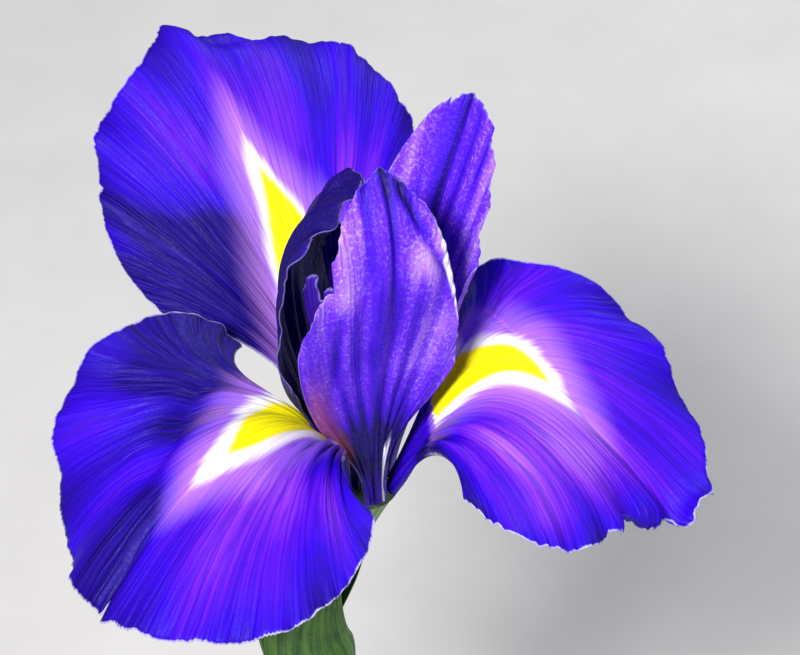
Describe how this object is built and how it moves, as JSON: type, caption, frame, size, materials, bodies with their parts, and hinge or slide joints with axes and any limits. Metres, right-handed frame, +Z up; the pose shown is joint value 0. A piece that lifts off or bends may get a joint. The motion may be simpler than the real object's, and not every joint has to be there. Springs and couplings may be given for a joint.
{
  "type": "iris flower in a vase",
  "caption": "A blue-violet bulbous iris in full bloom on its cut stem, standing in a plain glazed bud vase.",
  "frame": {"origin": "centre of the flat underside of the vase", "axes": "+Z up along the vase; +X to the right and +Y to the rear as the bloom is seen from the front"},
  "size_m": [0.1411, 0.1158, 0.2508],
  "materials": {
    "glaze": "gloss",
    "stem": "satin",
    "leaf": "satin",
    "spathe": "satin",
    "fall": "satin",
    "standard": "satin",
    "style": "satin",
    "anther": "matte"
  },
  "bodies": {
    "root": {"vase": "glaze", "stem": "stem", "ovary_tube": "spathe", "spathe_outer": "spathe", "spathe_inner": "spathe", "leaf_long": "leaf", "leaf_short": "leaf", "fall_right": "fall", "fall_rear": "fall", "fall_left": "fall", "standard_front": "standard", "standard_rear": "standard", "standard_left": "standard", "style_arm_right": "style", "stamen_right": "anther", "style_arm_rear": "style", "stamen_rear": "anther", "style_arm_left": "style", "stamen_left": "anther"}
  },
  "joints": []
}
